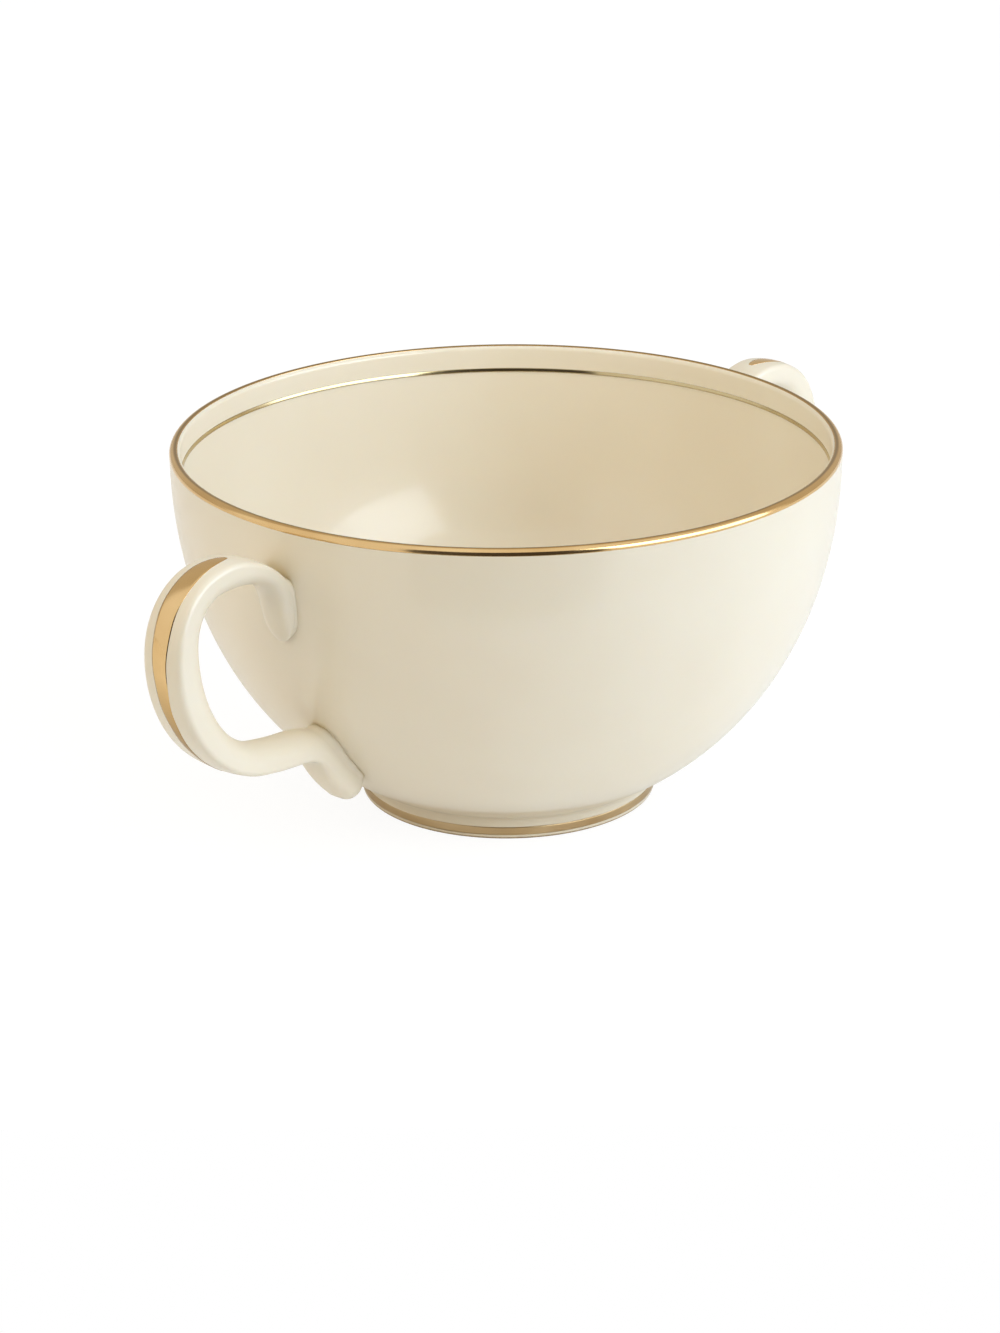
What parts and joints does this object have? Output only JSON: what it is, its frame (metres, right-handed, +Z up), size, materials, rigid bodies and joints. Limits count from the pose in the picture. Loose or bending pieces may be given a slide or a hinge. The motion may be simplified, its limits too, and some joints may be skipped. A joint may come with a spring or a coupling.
{
  "type": "bouillon cup",
  "caption": "Low round two-handled porcelain cup for clear soup, on a foot ring, with gilded rim, foot and handle stripes.",
  "frame": {"origin": "on the table, at the centre of the foot ring", "axes": "+Z up out of the mouth, X through both handles; the cup is the same seen from either end of X"},
  "size_m": [0.1538, 0.105, 0.058],
  "materials": {
    "ivory_glaze": "clear glossy glaze over an ivory porcelain body",
    "gilding": "burnished gold, thin and fired on"
  },
  "bodies": {
    "root": {"bowl": "ivory_glaze", "foot_ring": "ivory_glaze", "handle_left": "ivory_glaze", "handle_right": "ivory_glaze", "rim_gold_band": "gilding", "inner_gold_line": "gilding", "foot_gold_band": "gilding", "handle_left_gold_stripe": "gilding", "handle_right_gold_stripe": "gilding"}
  },
  "joints": []
}
